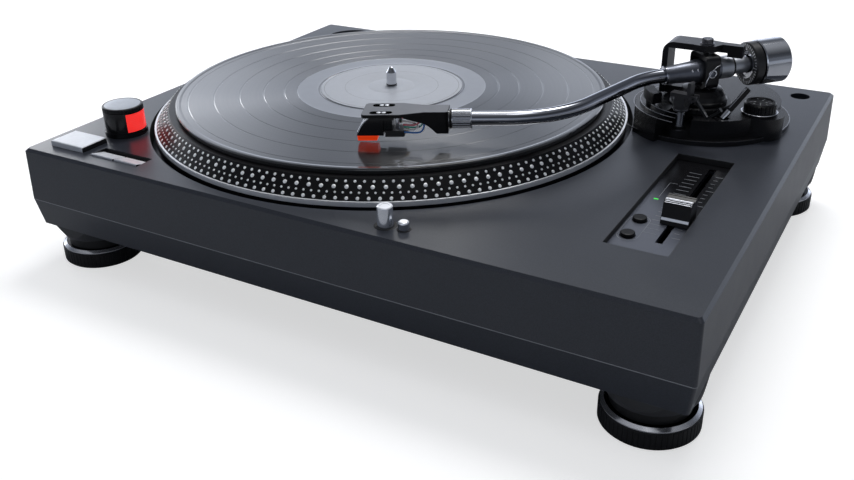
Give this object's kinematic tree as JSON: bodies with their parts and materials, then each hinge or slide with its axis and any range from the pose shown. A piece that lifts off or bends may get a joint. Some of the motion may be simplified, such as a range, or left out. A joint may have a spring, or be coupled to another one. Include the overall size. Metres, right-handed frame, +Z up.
{
  "type": "direct-drive record player",
  "caption": "Direct-drive DJ record player with strobe-dotted platter, record on a slipmat, S-shaped tonearm, pitch fader, pop-up stylus light and levelling feet.",
  "frame": {"origin": "middle of the case's plan outline at floor level", "axes": "+X to the user's right (tonearm side), +Y to the back (sockets), +Z up"},
  "size_m": [0.452, 0.354, 0.143],
  "materials": {
    "deck_paint": "satin charcoal metallic",
    "case_plastic": "fine grained black",
    "screw_steel": "dull plated",
    "jack_plating": "bright plated",
    "socket_metal": "stamped",
    "inlet_plastic": "black",
    "motor_steel": "plain",
    "board": "green laminate",
    "tower_black": "gloss black",
    "strobe_red": "clear red, lit",
    "knob_grey": "black side, pale grey top",
    "button_silver": "satin silver",
    "pitch_black": "black",
    "led_green": "clear green, lit",
    "platter_cast": "black rim with bright dots and bright edge",
    "magnet": "sintered",
    "spindle_steel": "polished",
    "felt": "black felt",
    "vinyl": "gloss grooved grey-black",
    "base_black": "semi-gloss black",
    "pillar_black": "satin black",
    "bright_small": "polished",
    "post_metal": "bright post with black cradle",
    "arm_chrome": "polished",
    "shaft_grey": "satin grey",
    "weight_chrome": "polished",
    "bush": "natural",
    "shell_grey": "grey top, black sides",
    "cartridge_black": "black",
    "stylus_orange": "orange-red",
    "lever_black": "bright stem with black grip",
    "rubber": "fine fluted",
    "ring_chrome": "polished"
  },
  "bodies": {
    "chassis": {"top_chassis": "deck_paint", "base_cover": "case_plastic", "base_screws": "screw_steel", "rear_panel": "case_plastic", "rca_jacks": "jack_plating", "usb_socket": "socket_metal", "mains_inlet": "inlet_plastic", "ground_post": "jack_plating", "motor_stator": "motor_steel", "control_board": "board", "transformer": "motor_steel", "strobe_tower": "tower_black", "strobe_window": "strobe_red", "pitch_panel": "tower_black", "fader_track": "motor_steel", "pitch_led": "led_green", "arm_base": "base_black"},
    "platter": {"platter": "platter_cast", "rotor_magnet": "magnet", "spindle": "spindle_steel"},
    "record": {"slipmat": "felt", "record": "vinyl"},
    "arm_pillar": {"arm_pillar": "pillar_black", "pivot_nut": "bright_small", "rest_post": "post_metal"},
    "arm": {"arm_tube": "arm_chrome", "arm_shaft": "shaft_grey", "headshell": "shell_grey", "cartridge": "cartridge_black", "stylus": "stylus_orange"},
    "power_knob": {"power_knob": "knob_grey"},
    "start_stop_button": {"start_stop_button": "button_silver"},
    "speed_33_button": {"speed_33_button": "button_silver"},
    "speed_45_button": {"speed_45_button": "button_silver"},
    "light_button": {"light_button": "button_silver"},
    "target_light": {"target_light": "button_silver"},
    "pitch_reset_button": {"pitch_reset_button": "pitch_black"},
    "pitch_range_button": {"pitch_range_button": "pitch_black"},
    "pitch_fader": {"pitch_fader": "pitch_black"},
    "height_ring": {"height_ring": "base_black"},
    "height_lock": {"height_lock": "pillar_black"},
    "gimbal": {"gimbal": "pillar_black"},
    "headshell_nut": {"headshell_nut": "bright_small"},
    "counterweight_bush": {"counterweight_bush": "bush"},
    "counterweight": {"counterweight": "weight_chrome"},
    "counterweight_dial": {"counterweight_dial": "pillar_black"},
    "cue_lever": {"cue_lever": "lever_black"},
    "lifter": {"lifter": "base_black"},
    "rest_clip": {"rest_clip": "pillar_black"},
    "anti_skate_dial": {"anti_skate_dial": "base_black"},
    "line_switch": {"line_switch": "inlet_plastic"},
    "ground_nut": {"ground_nut": "jack_plating"},
    "foot_1": {"foot_1": "rubber", "foot_1_ring": "ring_chrome"},
    "foot_2": {"foot_2": "rubber", "foot_2_ring": "ring_chrome"},
    "foot_3": {"foot_3": "rubber", "foot_3_ring": "ring_chrome"},
    "foot_4": {"foot_4": "rubber", "foot_4_ring": "ring_chrome"}
  },
  "joints": [
    {"name": "platter_spin", "type": "hinge", "parent": "chassis", "child": "platter", "pos_m": [-0.0475, 0.001, 0.09], "axis": [0, 0, 1], "continuous": true},
    {"name": "record_slip", "type": "hinge", "parent": "platter", "child": "record", "pos_m": [-0.0475, 0.001, 0.0995], "axis": [0, 0, 1], "continuous": true},
    {"name": "power_turn", "type": "hinge", "parent": "chassis", "child": "power_knob", "pos_m": [-0.1857, -0.1219, 0.1], "axis": [0, 0, -1], "range_deg": [0, 45]},
    {"name": "start_stop_press", "type": "slide", "parent": "chassis", "child": "start_stop_button", "axis": [0, 0, -1], "range_m": [0, 0.002], "stiffness_N_per_m": 300, "springref_m": -0.001},
    {"name": "speed_33_press", "type": "slide", "parent": "chassis", "child": "speed_33_button", "axis": [0, 0, -1], "range_m": [0, 0.0015], "stiffness_N_per_m": 300, "springref_m": -0.001},
    {"name": "speed_45_press", "type": "slide", "parent": "chassis", "child": "speed_45_button", "axis": [0, 0, -1], "range_m": [0, 0.0015], "stiffness_N_per_m": 300, "springref_m": -0.001},
    {"name": "light_button_press", "type": "slide", "parent": "chassis", "child": "light_button", "axis": [0, 0, -1], "range_m": [0, 0.0015], "stiffness_N_per_m": 300, "springref_m": -0.001},
    {"name": "target_light_drop", "type": "slide", "parent": "chassis", "child": "target_light", "axis": [0, 0, -1], "range_m": [0, 0.012]},
    {"name": "pitch_reset_press", "type": "slide", "parent": "chassis", "child": "pitch_reset_button", "axis": [0, 0, -1], "range_m": [0, 0.001], "stiffness_N_per_m": 300, "springref_m": -0.001},
    {"name": "pitch_range_press", "type": "slide", "parent": "chassis", "child": "pitch_range_button", "axis": [0, 0, -1], "range_m": [0, 0.001], "stiffness_N_per_m": 300, "springref_m": -0.001},
    {"name": "pitch_fader_slide", "type": "slide", "parent": "chassis", "child": "pitch_fader", "axis": [0, 1, 0], "range_m": [-0.0255, 0.0745]},
    {"name": "height_ring_turn", "type": "hinge", "parent": "chassis", "child": "height_ring", "pos_m": [0.1555, 0.0635, 0.0995], "axis": [0, 0, 1], "range_deg": [0, 300]},
    {"name": "arm_height", "type": "slide", "parent": "chassis", "child": "arm_pillar", "axis": [0, 0, 1], "range_m": [0, 0.006]},
    {"name": "height_lock_turn", "type": "hinge", "parent": "arm_pillar", "child": "height_lock", "pos_m": [0.15343, 0.04663, 0.1064], "axis": [-0.1219, -0.9925, 0], "range_deg": [0, 90]},
    {"name": "arm_swing", "type": "hinge", "parent": "arm_pillar", "child": "gimbal", "pos_m": [0.1555, 0.0635, 0.122], "axis": [0, 0, 1], "range_deg": [-14, 37]},
    {"name": "arm_lift", "type": "hinge", "parent": "gimbal", "child": "arm", "pos_m": [0.1555, 0.0635, 0.122], "axis": [-0.7071, 0.7071, 0], "range_deg": [0, 2.6]},
    {"name": "headshell_nut_turn", "type": "hinge", "parent": "arm", "child": "headshell_nut", "pos_m": [0.0434, -0.07682, 0.11571], "axis": [-0.9201, -0.3903, -0.0327], "range_deg": [0, 60]},
    {"name": "counterweight_travel", "type": "slide", "parent": "arm", "child": "counterweight_bush", "axis": [0.7067, 0.7067, 0.0352], "range_m": [-0.0031, 0.0091]},
    {"name": "counterweight_turn", "type": "hinge", "parent": "counterweight_bush", "child": "counterweight", "pos_m": [0.1873, 0.0953, 0.12359], "axis": [0.7067, 0.7067, 0.0352], "range_deg": [-360, 1080]},
    {"name": "weight_dial_turn", "type": "hinge", "parent": "counterweight", "child": "counterweight_dial", "pos_m": [0.1873, 0.0953, 0.12359], "axis": [0.7067, 0.7067, 0.0352], "continuous": true},
    {"name": "cue_lever_turn", "type": "hinge", "parent": "chassis", "child": "cue_lever", "pos_m": [0.1729, 0.0446, 0.0946], "axis": [0.7071, -0.7071, 0], "range_deg": [0, 60]},
    {"name": "lifter_rise", "type": "slide", "parent": "chassis", "child": "lifter", "axis": [0, 0, 1], "range_m": [0, 0.0064]},
    {"name": "rest_clip_swing", "type": "hinge", "parent": "arm_pillar", "child": "rest_clip", "pos_m": [0.15988, 0.02855, 0.11405], "axis": [-0.1392, -0.9903, 0], "range_deg": [0, 140]},
    {"name": "anti_skate_turn", "type": "hinge", "parent": "chassis", "child": "anti_skate_dial", "pos_m": [0.1934, 0.066, 0.103], "axis": [0, 0, 1], "range_deg": [0, 270]},
    {"name": "line_switch_slide", "type": "slide", "parent": "chassis", "child": "line_switch", "axis": [1, 0, 0], "range_m": [0, 0.006]},
    {"name": "ground_nut_turn", "type": "hinge", "parent": "chassis", "child": "ground_nut", "pos_m": [-0.04, 0.168, 0.051], "axis": [0, 1, 0], "range_deg": [0, 360]},
    {"name": "foot_1_level", "type": "slide", "parent": "chassis", "child": "foot_1", "axis": [0, 0, 1], "range_m": [-0.003, 0.003]},
    {"name": "foot_2_level", "type": "slide", "parent": "chassis", "child": "foot_2", "axis": [0, 0, 1], "range_m": [-0.003, 0.003]},
    {"name": "foot_3_level", "type": "slide", "parent": "chassis", "child": "foot_3", "axis": [0, 0, 1], "range_m": [-0.003, 0.003]},
    {"name": "foot_4_level", "type": "slide", "parent": "chassis", "child": "foot_4", "axis": [0, 0, 1], "range_m": [-0.003, 0.003]}
  ],
  "couplings": [
    {"joint": "height_ring_turn", "follows": "arm_height", "rad_per_m": 872.66},
    {"joint": "lifter_rise", "follows": "cue_lever_turn", "m_per_rad": 0.0061},
    {"joint": "arm_lift", "follows": "cue_lever_turn", "ratio": 0.0433},
    {"joint": "counterweight_travel", "follows": "counterweight_turn", "m_per_rad": 0.00047746}
  ]
}
